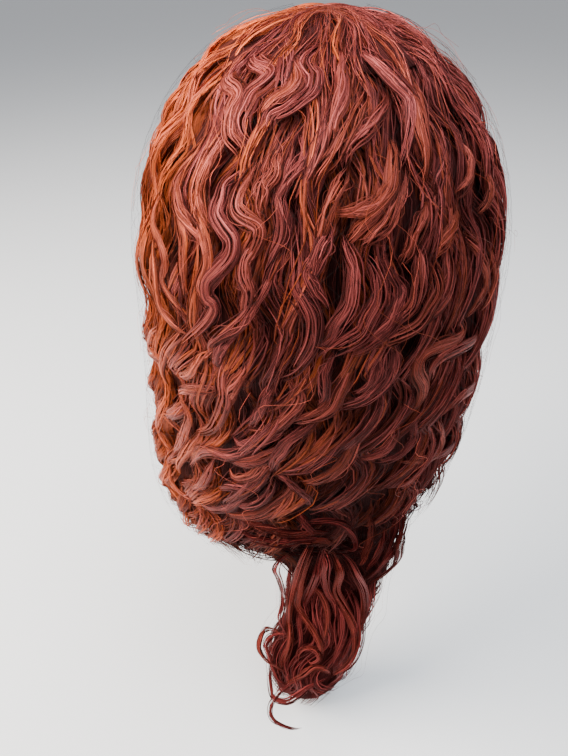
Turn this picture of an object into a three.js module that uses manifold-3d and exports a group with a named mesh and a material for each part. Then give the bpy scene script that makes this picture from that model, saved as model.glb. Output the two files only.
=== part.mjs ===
import * as THREE from 'three';
import { mergeVertices } from 'three/addons/utils/BufferGeometryUtils.js';
import Module from 'manifold-3d';

const wasm = await Module();
wasm.setup();

// Driving dimensions, in millimetres. Z = 0 is the inside of the cap's crown and the face looks along -Y.
const headHalfWidth = 76;
const headHalfLength = 96;
const crownHeight = 95;
const capWall = 2;
const napeDrop = 150;
const napeTaper = 0.12;

const crownFullness = 21;
const leftFullness = 21;
const rightFullness = 16;
const backFullness = 18;
const foreheadFullness = 8;
const capClearance = 1.6;
const seam = 0.4;
const domeSquareness = 2.14;

const bodyLength = 197;
const faceEdge = 135;
const partStart = 90;
const partLength = 92;
const crownPatch = 36;

const panelCount = 9;
const locksPerPanel = 3;
const panelRows = 28;
const ridgeDepth = 5;
const rootRidge = 0.35;
const evenRidge = 0.75;
const grooveShiftMost = 0.3;
const tipLength = 17;
const evenTip = 0.6;
const tipRows = 3;
const tipSpread = 0.5;
const thinnestLock = 3;
const wanderMost = 0.2;
const nearestPath = 0.03;

const waveLength = 52;
const waveSlant = 30;
const waveStart = 20;
const swayMost = 7.5;
const swellMost = 4.6;

const gatherColumns = 36;
const gatherRows = 4;
const gatherNeckRings = 3;
const gatherLock = 3;
const openFrontShare = 0.35;
const gatherSeat = 0.7;
const gatherClearance = 1.6;
const bowlDepth = 55;
const tailNeck = 322;
const tailLength = 182;
const tailHalfWidth = 42;
const tailHalfDepth = 31;
const tailLocks = 7;
const tailLockColumns = 3;
const tailRows = 22;
const tailWaveLength = 44;
const tailWander = 2.2;
const tailSway = 4;
const tailRidge = 6;
const tailEnd = 3;
const tailRootShare = 1 / 6;
const tailTipShare = 1 / 4;

const ringletPoints = 16;
const ringletSteps = 15;
const ringletSides = 5;
const ringletSpread = 0.6;
const ringletRise = 0.5;
const ringletSwing = 0.8;
const tipCurlThickness = 2.6;
const tipCurlSteps = 10;

const capColumns = 28;
const capRows = 8;

const hair = { auburn: 0x6e2d24, copper: 0x9a4322, shadow: 0x45191a, cap: 0x3a2420 };

// Lower edge of the cap: drop below the crown as a share of the nape's drop, by azimuth from the back.
const capRim = [
  { azimuth: 0, drop: 1.0 },
  { azimuth: 40, drop: 0.92 },
  { azimuth: 68, drop: 0.75 },
  { azimuth: 90, drop: 0.7 },
  { azimuth: 106, drop: 0.77 },
  { azimuth: 118, drop: 0.82 },
  { azimuth: 130, drop: 0.72 },
  { azimuth: 140, drop: 0.58 },
  { azimuth: 152, drop: 0.4 },
  { azimuth: 165, drop: 0.33 },
  { azimuth: 180, drop: 0.307 },
];

// Sections of the hanging hair below the widest line of the head, as shares of the body's length,
// of the dome's half width, back depth and front depth, and of the half width and back depth for shifts.
const bodySections = [
  { drop: 0.0, width: 1.0, back: 1.0, front: 1.0, shiftX: 0.0, shiftY: 0.0 },
  { drop: 0.28, width: 1.03, back: 0.965, front: 0.93, shiftX: 0.01, shiftY: 0.0 },
  { drop: 0.53, width: 1.05, back: 0.9, front: 0.8, shiftX: 0.05, shiftY: 0.0 },
  { drop: 0.71, width: 1.02, back: 0.78, front: 0.63, shiftX: 0.09, shiftY: 0.05 },
  { drop: 0.85, width: 0.91, back: 0.63, front: 0.48, shiftX: 0.1, shiftY: 0.12 },
  { drop: 0.95, width: 0.72, back: 0.46, front: 0.36, shiftX: 0.06, shiftY: 0.2 },
  { drop: 1.0, width: 0.57, back: 0.35, front: 0.28, shiftX: 0.0, shiftY: 0.26 },
];

// Thickness of the hanging hair as a share of its thickness at the widest line of the head.
const wallThinning = [
  { drop: 0.0, share: 1.0 },
  { drop: 0.55, share: 1.0 },
  { drop: 0.85, share: 0.9 },
  { drop: 1.0, share: 0.7 },
];

// How far down the locks reach, as a share of the whole path, by azimuth from the back (+ is +X).
const lockReach = [
  { azimuth: -180, reach: 0.9 },
  { azimuth: -100, reach: 0.84 },
  { azimuth: -50, reach: 0.83 },
  { azimuth: -10, reach: 0.86 },
  { azimuth: 30, reach: 0.92 },
  { azimuth: 100, reach: 0.95 },
  { azimuth: 180, reach: 0.9 },
];

// Strength of the wave along the path, as a share of its largest sway and swell.
const waveGrowth = [
  { path: 0.0, share: 0.1 },
  { path: 0.15, share: 0.22 },
  { path: 0.4, share: 0.6 },
  { path: 0.7, share: 1.0 },
  { path: 0.84, share: 0.95 },
  { path: 1.0, share: 0.35 },
];

// Sections of the tail, as shares of its length, half width and half depth, and its shifts likewise.
const tailSections = [
  { drop: 0.0, width: 1.0, depth: 0.95, shiftX: -0.46, shiftY: 1.25 },
  { drop: 0.12, width: 0.9, depth: 0.92, shiftX: -0.44, shiftY: 1.4 },
  { drop: 0.35, width: 0.9, depth: 1.0, shiftX: -0.3, shiftY: 1.6 },
  { drop: 0.6, width: 0.97, depth: 1.0, shiftX: -0.12, shiftY: 1.65 },
  { drop: 0.8, width: 0.88, depth: 0.92, shiftX: 0.0, shiftY: 1.65 },
  { drop: 0.93, width: 0.62, depth: 0.68, shiftX: 0.06, shiftY: 1.65 },
  { drop: 1.0, width: 0.26, depth: 0.3, shiftX: 0.12, shiftY: 1.7 },
];

// Ringlets that stand off the tail: start and end down the tail, where round it, curl size and turns.
const ringlets = [
  { from: 0.06, to: 0.42, round: 84, curl: 7, turns: 1.6, thick: 4.2 },
  { from: 0.4, to: 0.86, round: 96, curl: 9, turns: 2.2, thick: 4.6 },
  { from: 0.55, to: 0.97, round: 60, curl: 7, turns: 2.0, thick: 4.4 },
  { from: 0.3, to: 0.8, round: -70, curl: 6, turns: 1.8, thick: 4.4 },
  { from: 0.2, to: 0.7, round: 200, curl: 6, turns: 1.7, thick: 4.6 },
];

// The thin lock at the tail's tip, as offsets from the side of the tip.
const tipCurl = [
  { right: -9, back: 0, up: 10 },
  { right: 3, back: 3, up: -4 },
  { right: 6, back: 10, up: -15 },
  { right: 1, back: 18, up: -22 },
  { right: -8, back: 24, up: -24 },
  { right: -18, back: 27, up: -23 },
];

// Rows of the crown's whorl, as shares of the way from the crown to the whorl's edge.
const crownFaceRows = [0, 0.25, 0.5, 0.75, 1];
const crownBackRows = [0, 0.3, 0.55, 0.8, 1];

const degrees = Math.PI / 180;
const leftWidth = headHalfWidth + capWall + leftFullness;
const rightWidth = headHalfWidth + capWall + rightFullness;
const domeWidth = (leftWidth + rightWidth) / 2;
const domeBack = headHalfLength + capWall + backFullness;
const domeFront = headHalfLength + capWall + foreheadFullness;
const domeHeight = crownHeight + capWall + crownFullness;
const domePath = 0.25 * Math.PI * (domeBack + domeHeight);
const wholePath = domePath + bodyLength;
const domeShare = domePath / wholePath;
const patchShare = (domeShare * crownPatch) / 90;

// A value between the rows of a table, on a smooth curve through them.
function between(rows, key, column, at) {
  const last = rows.length - 1;
  let i = 0;
  while (i < last - 1 && at > rows[i + 1][key]) i += 1;
  const x0 = rows[i][key];
  const x1 = rows[i + 1][key];
  const t = Math.min(1, Math.max(0, (at - x0) / (x1 - x0)));
  const y0 = rows[i][column];
  const y1 = rows[i + 1][column];
  const before = rows[Math.max(0, i - 1)];
  const after = rows[Math.min(last, i + 2)];
  const slope0 = ((y1 - before[column]) / (x1 - before[key])) * (x1 - x0);
  const slope1 = ((after[column] - y0) / (after[key] - x0)) * (x1 - x0);
  const bend0 = i === 0 ? y1 - y0 : slope0;
  const bend1 = i === last - 1 ? y1 - y0 : slope1;
  const low = y0 * (1 + 2 * t) * (1 - t) ** 2 + bend0 * t * (1 - t) ** 2;
  const high = y1 * t * t * (3 - 2 * t) - bend1 * t * t * (1 - t);
  return low + high;
}

// A fixed scatter value from 0 to 1 for a numbered lock.
function scatter(number, salt) {
  const wild = Math.sin(number * 12.9898 + salt * 78.233) * 43758.5453;
  return wild - Math.floor(wild);
}

// The smooth outer envelope of the hair. Azimuth runs from the back, path from the crown to the ends.
function envelope(azimuth, path) {
  const u = azimuth * degrees;
  const sideWidth = u >= 0 ? leftWidth : rightWidth;
  const depth = Math.cos(u) >= 0 ? domeBack : domeFront;
  if (path <= domeShare) {
    const reach = Math.sin((path / domeShare) * 90 * degrees);
    const along = Math.max(0, (Math.abs(azimuth) - partStart) / (faceEdge - partStart));
    const rootY = -partLength * Math.min(1, along);
    const x = sideWidth * Math.sin(u) * reach;
    const y = rootY + (depth * Math.cos(u) - rootY) * reach;
    const radius = Math.min(1, Math.hypot(x / sideWidth, y / (y >= 0 ? domeBack : domeFront)));
    const rise = (1 - radius ** domeSquareness) ** (1 / domeSquareness);
    return new THREE.Vector3(x, y, domeHeight * rise - crownHeight);
  }
  const drop = (path - domeShare) / (1 - domeShare);
  const width = sideWidth * between(bodySections, 'drop', 'width', drop);
  const column = Math.cos(u) >= 0 ? 'back' : 'front';
  const reach = depth * between(bodySections, 'drop', column, drop);
  return new THREE.Vector3(
    width * Math.sin(u) + domeWidth * between(bodySections, 'drop', 'shiftX', drop),
    reach * Math.cos(u) + domeBack * between(bodySections, 'drop', 'shiftY', drop),
    -crownHeight - bodyLength * drop,
  );
}

// Directions across the locks, down the locks and out of the hair at a point of the envelope.
function directions(azimuth, path) {
  const away = Math.max(path, nearestPath);
  const step = 1;
  const across = envelope(azimuth + step, away).sub(envelope(azimuth - step, away)).normalize();
  const shift = 0.01;
  const down = envelope(azimuth, away + shift).sub(envelope(azimuth, away - shift)).normalize();
  const out = new THREE.Vector3().crossVectors(across, down).normalize();
  return { across, down, out };
}

// The back of the hair: against the cap on the dome, and a wall's thickness inside the envelope below it.
function backing(azimuth, path) {
  const centre = new THREE.Vector3(0, 0, -crownHeight);
  const onDome = envelope(azimuth, Math.min(path, domeShare));
  const ray = onDome.clone().sub(centre);
  const clear = capWall + capClearance;
  const reach = Math.hypot(
    ray.x / (headHalfWidth + clear),
    ray.y / (headHalfLength + clear),
    ray.z / (crownHeight + clear),
  );
  const against = ray.clone().divideScalar(reach);
  if (path <= domeShare) return against.add(centre);
  const drop = (path - domeShare) / (1 - domeShare);
  const wall = (ray.length() - against.length()) * between(wallThinning, 'drop', 'share', drop);
  const skin = envelope(azimuth, path);
  const middle = new THREE.Vector3(
    domeWidth * between(bodySections, 'drop', 'shiftX', drop),
    domeBack * between(bodySections, 'drop', 'shiftY', drop),
    skin.z,
  );
  const inward = middle.sub(skin);
  return skin.add(inward.normalize().multiplyScalar(wall));
}

// The long wave that all the locks share: where it has come to at a point, and how strong it is there.
function waveAt(azimuth, path, wander) {
  const behind = path * wholePath - waveStart - waveSlant * azimuth * degrees;
  const phase = (2 * Math.PI * behind) / waveLength + wander;
  const strength = between(waveGrowth, 'path', 'share', path);
  return { sway: -swayMost * strength * Math.sin(phase), lift: 1 + Math.cos(phase), strength };
}

// The face of the locks: each lock is a ridge between two grooves, and all of them sway and swell together.
function lockSurface(azimuth, path, height, lock, settle) {
  const { across, out } = directions(azimuth, path);
  const { sway, lift, strength } = waveAt(azimuth, path, wanderMost * (scatter(lock, 1) - 0.5) * height);
  const full = ridgeDepth * Math.min(1, rootRidge + strength);
  const sink = full * (1 - height * (evenRidge + (1 - evenRidge) * scatter(lock, 2)));
  const skin = envelope(azimuth, path);
  const wall = skin.distanceTo(backing(azimuth, path));
  const inward = Math.min(settle * (swellMost * strength * lift + sink), wall - thinnestLock);
  return skin.addScaledVector(across, settle * sway).addScaledVector(out, -inward);
}

// The back of the locks, which sways with them.
function lockBack(azimuth, path, settle) {
  const { across } = directions(azimuth, path);
  return backing(azimuth, path).addScaledVector(across, settle * waveAt(azimuth, path, 0).sway);
}

// Triangles between two rows of points that run side by side, whatever the number of points in each.
function zip(faces, coarse, fine, turned) {
  const add = (a, b, c) => faces.push(turned ? [c, b, a] : [a, b, c]);
  const coarseSteps = coarse.length - 1;
  const fineSteps = fine.length - 1;
  let i = 0;
  let j = 0;
  while (i < coarseSteps || j < fineSteps) {
    if (j === fineSteps || (i < coarseSteps && (i + 1) * fineSteps <= (j + 1) * coarseSteps)) {
      add(coarse[i], coarse[i + 1], fine[j]);
      i += 1;
    } else {
      add(coarse[i], fine[j + 1], fine[j]);
      j += 1;
    }
  }
}

// A closed body from points and faces, with its shared points merged and its faces turned outward.
function closedBody(points, faces) {
  const flat = new THREE.BufferGeometry();
  flat.setAttribute('position', new THREE.Float32BufferAttribute(points.flatMap((p) => [p.x, p.y, p.z]), 3));
  flat.setIndex(faces.flat());
  const merged = mergeVertices(flat, 1e-3);
  const index = merged.index.array;
  const kept = [];
  for (let i = 0; i < index.length; i += 3) {
    const [a, b, c] = [index[i], index[i + 1], index[i + 2]];
    if (a !== b && b !== c && c !== a) kept.push(a, b, c);
  }
  const place = merged.getAttribute('position');
  const corner = (k) => new THREE.Vector3().fromBufferAttribute(place, k);
  let volume = 0;
  for (let i = 0; i < kept.length; i += 3) {
    const [a, b, c] = [corner(kept[i]), corner(kept[i + 1]), corner(kept[i + 2])];
    volume += a.dot(b.cross(c)) / 6;
  }
  if (volume < 0) kept.reverse();
  merged.setIndex(kept);
  return merged;
}

// A wall between an outer sheet and a coarser inner sheet, each a list of columns that hold points.
function sheetWall(outer, inner) {
  const points = [];
  const number = (sheet) => sheet.map((column) => column.map((point) => points.push(point) - 1));
  const front = number(outer);
  const back = number(inner);
  const faces = [];
  for (let i = 0; i < front.length - 1; i += 1) zip(faces, front[i], front[i + 1], false);
  for (let i = 0; i < back.length - 1; i += 1) zip(faces, back[i], back[i + 1], true);
  const row = (sheet, j) => sheet.map((column) => column[j === 0 ? 0 : column.length - 1]);
  zip(faces, back[0], front[0], false);
  zip(faces, back[back.length - 1], front[front.length - 1], true);
  zip(faces, row(back, 0), row(front, 0), true);
  zip(faces, row(back, 1), row(front, 1), false);
  return closedBody(points, faces);
}

// A closed body from rings of points, one above the other, with a point in the middle of each end.
function ringBody(rings, top, bottom) {
  const points = rings.flat();
  const count = rings[0].length;
  const faces = [];
  for (let j = 0; j < rings.length - 1; j += 1) {
    for (let i = 0; i < count; i += 1) {
      const next = (i + 1) % count;
      const [a, b] = [j * count + i, j * count + next];
      faces.push([a, b, b + count], [a, b + count, a + count]);
    }
  }
  const last = (rings.length - 1) * count;
  const topPoint = points.push(top) - 1;
  const bottomPoint = points.push(bottom) - 1;
  for (let i = 0; i < count; i += 1) {
    const next = (i + 1) % count;
    faces.push([topPoint, next, i], [bottomPoint, last + i, last + next]);
  }
  return closedBody(points, faces);
}

// Joins closed bodies into one.
function fuse(bodies) {
  const solids = bodies.map((geometry) => {
    const mesh = new wasm.Mesh({
      numProp: 3,
      vertProperties: new Float32Array(geometry.getAttribute('position').array),
      triVerts: new Uint32Array(geometry.index.array),
    });
    return new wasm.Manifold(mesh);
  });
  const whole = solids.reduce((sum, solid) => sum.add(solid)).getMesh();
  const geometry = new THREE.BufferGeometry();
  geometry.setAttribute('position', new THREE.Float32BufferAttribute(whole.vertProperties, 3));
  geometry.setIndex(Array.from(whole.triVerts));
  return geometry;
}

const wig = new THREE.Group();

function addPiece(name, geometry, color) {
  const material = new THREE.MeshStandardMaterial({ color, roughness: 0.5, metalness: 0, flatShading: true });
  const mesh = new THREE.Mesh(geometry, material);
  mesh.name = name;
  geometry.computeVertexNormals();
  wig.add(mesh);
}

// The cap: a thin shell that follows the head, with a nape, ear tabs and a front hairline.
function capPoint(azimuth, share, offset) {
  const u = azimuth * degrees;
  const drop = napeDrop * between(capRim, 'azimuth', 'drop', Math.abs(azimuth));
  const width = headHalfWidth + offset;
  const length = headHalfLength + offset;
  const height = crownHeight + offset;
  const below = Math.max(0, drop - crownHeight);
  const lowest = Math.acos(Math.min(1, Math.max(0, (crownHeight - drop) / height)));
  const arc = lowest * height;
  const along = share * (arc + below);
  if (along <= arc) {
    const tilt = along / height;
    const ring = Math.sin(tilt);
    return new THREE.Vector3(
      width * ring * Math.sin(u),
      length * ring * Math.cos(u),
      height * Math.cos(tilt) - crownHeight,
    );
  }
  const depth = along - arc;
  const taper = 1 - napeTaper * (depth / (napeDrop - crownHeight)) ** 2;
  return new THREE.Vector3(width * taper * Math.sin(u), length * taper * Math.cos(u), -crownHeight - depth);
}

function buildCap() {
  const sheet = (offset) =>
    Array.from({ length: capColumns + 1 }, (_, i) => {
      const azimuth = (360 * i) / capColumns;
      const turned = azimuth > 180 ? azimuth - 360 : azimuth;
      return Array.from({ length: capRows + 1 }, (_, j) => capPoint(turned, j / capRows, offset));
    });
  const points = [];
  const number = (columns) => columns.map((column) => column.map((point) => points.push(point) - 1));
  const [front, back] = [number(sheet(capWall)), number(sheet(0))];
  const faces = [];
  const rim = (sheet, i) => [sheet[i][capRows], sheet[i + 1][capRows]];
  for (let i = 0; i < capColumns; i += 1) {
    zip(faces, front[i], front[i + 1], false);
    zip(faces, back[i], back[i + 1], true);
    zip(faces, rim(back, i), rim(front, i), false);
  }
  return closedBody(points, faces);
}

addPiece('wig_cap', buildCap(), hair.cap);

// Columns of a lock: how far across the lock each stands, and how high on its ridge.
const lockColumns = [
  { across: 0, height: 0 },
  { across: 0.34, height: 0.92 },
  { across: 0.66, height: 1 },
];
const lockCount = panelCount * locksPerPanel;
const lockSpan = (2 * faceEdge) / lockCount;

function lockColumn(number) {
  const lock = Math.floor(number / lockColumns.length);
  const { across, height } = lockColumns[number % lockColumns.length];
  const grooveShift = (k) => {
    if (k % locksPerPanel === 0) return 0;
    const mirrored = Math.min(k, lockCount - k);
    return (k === mirrored ? grooveShiftMost : -grooveShiftMost) * (scatter(mirrored, 3) - 0.5);
  };
  const left = lock + grooveShift(lock);
  const right = lock + 1 + grooveShift(lock + 1);
  return { azimuth: -faceEdge + lockSpan * (left + (right - left) * across), height, lock };
}

// The whorl over the crown, with the parting that runs forward from it to the hairline.
function buildCrown() {
  const columns = lockCount * lockColumns.length;
  const outer = [];
  for (let i = 0; i <= columns; i += 1) {
    const { azimuth, height, lock } = lockColumn(i);
    outer.push(
      crownFaceRows.map((share) => {
        const path = patchShare * share;
        const settle = share * share * (3 - 2 * share);
        const point = lockSurface(azimuth, path, height, lock, settle);
        return share === 1 ? point.addScaledVector(directions(azimuth, path).down, -seam / 2) : point;
      }),
    );
  }
  const inner = [];
  for (let i = 0; i <= lockCount; i += 1) {
    const { azimuth } = lockColumn(i * lockColumns.length);
    inner.push(
      crownBackRows.map((share) => {
        const point = lockBack(azimuth, patchShare * share, share * share * (3 - 2 * share));
        return share === 1 ? point.addScaledVector(directions(azimuth, patchShare).down, -seam / 2) : point;
      }),
    );
  }
  const points = [];
  const number = (sheet) => sheet.map((column) => column.map((point) => points.push(point) - 1));
  const [front, back] = [number(outer), number(inner)];
  const faces = [];
  for (let i = 0; i < columns; i += 1) zip(faces, front[i], front[i + 1], false);
  for (let i = 0; i < lockCount; i += 1) zip(faces, back[i], back[i + 1], true);
  zip(faces, back[0], front[0], false);
  zip(faces, back[lockCount], front[columns], true);
  const rim = (sheet) => sheet.map((column) => column[column.length - 1]);
  zip(faces, rim(back), rim(front), false);
  return closedBody(points, faces);
}

addPiece('crown_hair', buildCrown(), hair.auburn);

// The hanging panels: each holds a few locks that stand on a common backing.
function rowPath(azimuth, row) {
  return patchShare + ((between(lockReach, 'azimuth', 'reach', azimuth) - patchShare) * row) / panelRows;
}

// How far a row is into the free tips, from 0 to 1.
function tipShare(row) {
  return Math.max(0, row - panelRows + tipRows) / tipRows;
}

function buildPanel(panel) {
  const perPanel = locksPerPanel * lockColumns.length;
  const rows = Array.from({ length: panelRows + 1 }, (_, j) => j);
  const column = (i, surface) => {
    const { azimuth, height, lock } = lockColumn(panel * perPanel + i);
    const side = i === 0 ? 1 : i === perPanel ? -1 : 0;
    const hang = tipLength * height * (evenTip + (1 - evenTip) * scatter(lock, 4));
    return rows.map((row) => {
      const edge = side * (seam / 2 + tipSpread * tipShare(row));
      const path = rowPath(azimuth, row);
      const { across, down } = directions(azimuth, path);
      const point = surface(azimuth, path, height, lock).addScaledVector(across, edge);
      return point.addScaledVector(down, row === 0 ? seam / 2 : hang * tipShare(row));
    });
  };
  const face = (azimuth, path, height, lock) => lockSurface(azimuth, path, height, lock, 1);
  const back = (azimuth, path) => lockBack(azimuth, path, 1);
  const outer = Array.from({ length: perPanel + 1 }, (_, i) => column(i, face));
  const inner = Array.from({ length: locksPerPanel + 1 }, (_, i) => column(i * lockColumns.length, back));
  return sheetWall(outer, inner);
}

const panels = [
  { name: 'right_front_hair', color: hair.auburn },
  { name: 'right_temple_hair', color: hair.auburn },
  { name: 'right_side_hair', color: hair.auburn },
  { name: 'right_back_hair', color: hair.auburn },
  { name: 'centre_back_hair', color: hair.auburn },
  { name: 'left_back_hair', color: hair.auburn },
  { name: 'left_side_hair', color: hair.copper },
  { name: 'left_temple_hair', color: hair.copper },
  { name: 'left_front_hair', color: hair.copper },
];
panels.forEach(({ name, color }, panel) => addPiece(name, buildPanel(panel), color));

// A ring round the tail, flat where it meets the gathered hair and ridged into locks below it.
function tailRing(share, count, ridged) {
  const width = tailHalfWidth * between(tailSections, 'drop', 'width', share);
  const depth = tailHalfDepth * between(tailSections, 'drop', 'depth', share);
  const middleX = tailHalfWidth * between(tailSections, 'drop', 'shiftX', share);
  const middleY = tailHalfDepth * between(tailSections, 'drop', 'shiftY', share);
  const perLock = count / tailLocks;
  return Array.from({ length: count }, (_, i) => {
    const lock = Math.floor(i / perLock);
    const phase = (2 * Math.PI * share * tailLength) / tailWaveLength + tailWander * scatter(lock, 5);
    const turn = (2 * Math.PI * i) / count + (ridged * tailSway * Math.sin(phase)) / width;
    const groove = i % perLock === 0 ? 1 : 0;
    const sink = ridged * (tailRidge * groove + (tailSway * (1 + Math.cos(phase))) / 2);
    return new THREE.Vector3(
      middleX + (width - sink) * Math.sin(turn),
      middleY + (depth - sink) * Math.cos(turn),
      -tailNeck - tailLength * share,
    );
  });
}

// The under-hair: it closes the bottom of the bundle inside the lock tips and narrows to the tail.
function buildGather() {
  const rings = [];
  const azimuthOf = (i) => {
    if (i < lockCount) return lockColumn(i * lockColumns.length).azimuth;
    return faceEdge + ((360 - 2 * faceEdge) * (i - lockCount)) / (gatherColumns - lockCount);
  };
  const azimuths = Array.from({ length: gatherColumns }, (_, i) => azimuthOf(i));
  const turned = (azimuth) => (azimuth > 180 ? azimuth - 360 : azimuth);
  for (let above = gatherRows; above >= 0; above -= 1) {
    const gap = above === gatherRows ? gatherSeat : gatherClearance;
    rings.push(
      azimuths.map((azimuth, i) => {
        const open = i > lockCount ? openFrontShare : 1;
        const path = rowPath(turned(azimuth), panelRows - open * above);
        const { out } = directions(turned(azimuth), path);
        return lockBack(turned(azimuth), path, 1).addScaledVector(out, -gap);
      }),
    );
  }
  const last = rings[rings.length - 1];
  const width = tailHalfWidth * tailSections[0].width;
  const depth = tailHalfDepth * tailSections[0].depth;
  const neckX = tailHalfWidth * tailSections[0].shiftX;
  const neckY = tailHalfDepth * tailSections[0].shiftY;
  const neck = azimuths.map((azimuth) => {
    const angle = azimuth * degrees;
    return new THREE.Vector3(
      neckX + width * Math.sin(angle),
      neckY + depth * Math.cos(angle),
      -tailNeck + seam / 2,
    );
  });
  const middle = (ring) => ring.reduce((sum, p) => sum.add(p), new THREE.Vector3()).divideScalar(ring.length);
  for (let k = 1; k <= gatherNeckRings; k += 1) {
    const share = k / gatherNeckRings;
    const ease = share * share * (3 - 2 * share);
    const ring = last.map((point, i) => {
      const mixed = point.clone().lerp(neck[i], ease);
      return mixed.setZ(point.z + (neck[i].z - point.z) * share);
    });
    const heart = middle(ring);
    ring.forEach((point, i) => {
      const inward = new THREE.Vector3(heart.x - point.x, heart.y - point.y, 0).normalize();
      const groove = i % gatherLock === 0 && k < gatherNeckRings ? ridgeDepth : 0;
      point.addScaledVector(inward, groove);
    });
    rings.push(ring);
  }
  const bowl = middle(rings[0]);
  return ringBody(rings, bowl.setZ(bowl.z - bowlDepth), middle(rings[rings.length - 1]));
}

addPiece('gathered_hair', buildGather(), hair.shadow);

// A tapered lock of round section along a curve, closed in a point at each end.
function tubeLock(curve, thick, steps) {
  const rings = [];
  const frames = curve.computeFrenetFrames(steps, false);
  for (let j = 1; j < steps; j += 1) {
    const share = j / steps;
    const radius = thick * Math.min(1, 1.1 * Math.sqrt(2 * share), Math.sqrt(2 - 2 * share));
    const middle = curve.getPointAt(share);
    rings.push(
      Array.from({ length: ringletSides }, (_, i) => {
        const turn = (2 * Math.PI * i) / ringletSides;
        return middle
          .clone()
          .addScaledVector(frames.normals[j], radius * Math.cos(turn))
          .addScaledVector(frames.binormals[j], radius * Math.sin(turn));
      }),
    );
  }
  return ringBody(rings, curve.getPointAt(0), curve.getPointAt(1));
}

// A ringlet that winds down beside the tail.
function ringletCurve({ from, to, round, curl, turns }) {
  const points = [];
  for (let i = 0; i <= ringletPoints; i += 1) {
    const share = from + ((to - from) * i) / ringletPoints;
    const width = tailHalfWidth * between(tailSections, 'drop', 'width', share) - tailRidge;
    const depth = tailHalfDepth * between(tailSections, 'drop', 'depth', share) - tailRidge;
    const angle = round * degrees;
    const wind = (2 * Math.PI * turns * i) / ringletPoints;
    const off = ringletSpread * curl * (1 - Math.cos(wind));
    const swing = ringletSwing * curl * Math.sin(wind);
    const middleX = tailHalfWidth * between(tailSections, 'drop', 'shiftX', share);
    const middleY = tailHalfDepth * between(tailSections, 'drop', 'shiftY', share);
    points.push(
      new THREE.Vector3(
        middleX + (width + off) * Math.sin(angle) + swing * Math.cos(angle),
        middleY + (depth + off) * Math.cos(angle) - swing * Math.sin(angle),
        -tailNeck - tailLength * share + ringletRise * curl * Math.sin(wind),
      ),
    );
  }
  return new THREE.CatmullRomCurve3(points);
}

// The tail with its ringlets and the thin lock that curls away at its tip.
function buildTail() {
  const count = tailLocks * tailLockColumns;
  const rings = [];
  for (let j = 0; j <= tailRows; j += 1) {
    const share = j / tailRows;
    const ridged = Math.min(1, share / tailRootShare) * Math.min(1, (1 - share) / tailTipShare);
    const ring = tailRing(share, count, ridged);
    if (j === 0) ring.forEach((point) => point.setZ(-tailNeck - seam / 2));
    rings.push(ring);
  }
  const middle = (ring) => ring.reduce((sum, p) => sum.add(p), new THREE.Vector3()).divideScalar(ring.length);
  const body = ringBody(rings, middle(rings[0]), middle(rings[tailRows]).add(new THREE.Vector3(0, 0, -tailEnd)));
  const side = rings[tailRows - 2][Math.round(count / 4)];
  const offsets = tipCurl.map(({ right, back, up }) => new THREE.Vector3(right, back, up));
  const curl = new THREE.CatmullRomCurve3(offsets.map((offset) => offset.add(side)));
  const parts = [body, tubeLock(curl, tipCurlThickness, tipCurlSteps)];
  ringlets.forEach((ringlet) => {
    parts.push(tubeLock(ringletCurve(ringlet), ringlet.thick, ringletSteps));
  });
  return fuse(parts);
}

addPiece('tail_hair', buildTail(), hair.shadow);

export default wig;
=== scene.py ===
import math

import bpy
import numpy as np
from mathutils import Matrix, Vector


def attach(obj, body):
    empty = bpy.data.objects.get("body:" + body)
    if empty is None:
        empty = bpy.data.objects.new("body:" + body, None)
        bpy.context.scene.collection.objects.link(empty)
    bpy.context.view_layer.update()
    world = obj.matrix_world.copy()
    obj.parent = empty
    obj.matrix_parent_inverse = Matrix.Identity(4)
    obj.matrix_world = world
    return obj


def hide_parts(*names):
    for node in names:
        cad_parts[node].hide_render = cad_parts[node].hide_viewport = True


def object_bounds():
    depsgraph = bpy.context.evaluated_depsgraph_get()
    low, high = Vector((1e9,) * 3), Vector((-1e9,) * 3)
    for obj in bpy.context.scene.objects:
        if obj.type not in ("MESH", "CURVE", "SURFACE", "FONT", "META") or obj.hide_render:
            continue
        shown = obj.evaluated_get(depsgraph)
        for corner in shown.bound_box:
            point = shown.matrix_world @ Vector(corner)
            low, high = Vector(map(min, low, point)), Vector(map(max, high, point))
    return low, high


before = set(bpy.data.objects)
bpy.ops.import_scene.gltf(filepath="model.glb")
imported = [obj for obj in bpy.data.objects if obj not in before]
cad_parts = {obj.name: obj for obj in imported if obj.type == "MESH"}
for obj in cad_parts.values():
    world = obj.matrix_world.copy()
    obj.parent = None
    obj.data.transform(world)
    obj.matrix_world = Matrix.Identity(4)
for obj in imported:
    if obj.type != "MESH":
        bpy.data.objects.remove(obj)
cad_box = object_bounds()
bpy.ops.object.select_all(action="DESELECT")


# The camera stands behind the wig and above it, and looks down at the crown and the back of the hair.
camera_place, camera_pitch = Vector((0.020, 0.290, 0.046)), math.radians(38)
film, photo_width, photo_height = 36, 568, 756
bpy.ops.object.camera_add(location=camera_place, rotation=(math.pi / 2 - camera_pitch, 0, math.pi))
camera = bpy.context.object
camera.name = "photo_camera"
camera.data.sensor_width = film
camera.data.lens = film * photo_width / photo_height
camera.data.clip_start = 0.01
bpy.context.scene.camera = camera
bpy.ops.object.select_all(action="DESELECT")


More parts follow.
